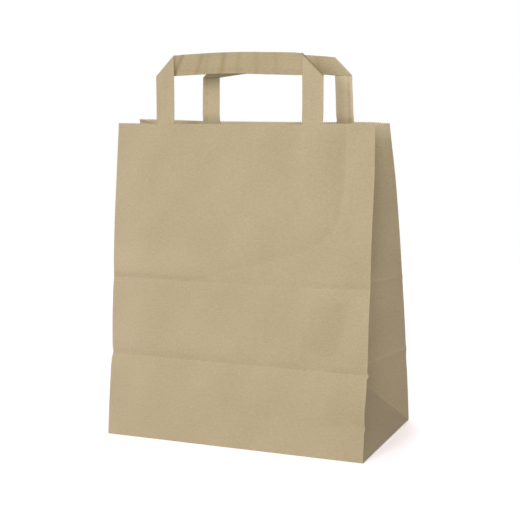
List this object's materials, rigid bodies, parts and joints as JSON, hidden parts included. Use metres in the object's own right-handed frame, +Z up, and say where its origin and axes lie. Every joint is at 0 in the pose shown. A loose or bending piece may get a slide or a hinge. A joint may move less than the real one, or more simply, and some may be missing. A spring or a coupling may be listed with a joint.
{
  "type": "paper carrier bag",
  "caption": "Plain kraft paper carrier bag with folded side gussets, a flat block bottom, a pinked rim and flat folded paper handles glued inside under patches.",
  "frame": {"origin": "middle of the base, on the surface that the bag stands on", "axes": "+Z up, the front panel faces -Y, +X along the panels to the right as seen from the front"},
  "size_m": [0.25, 0.14, 0.3498],
  "materials": {
    "kraft_sheet": "matt unprinted kraft with a fine fibre",
    "kraft_tape": "matt folded kraft tape, creased where it bends",
    "kraft_patch": "matt unprinted kraft"
  },
  "bodies": {
    "root": {"bag_body": "kraft_sheet", "front_handle": "kraft_tape", "rear_handle": "kraft_tape", "front_handle_patch": "kraft_patch", "rear_handle_patch": "kraft_patch"}
  },
  "joints": []
}
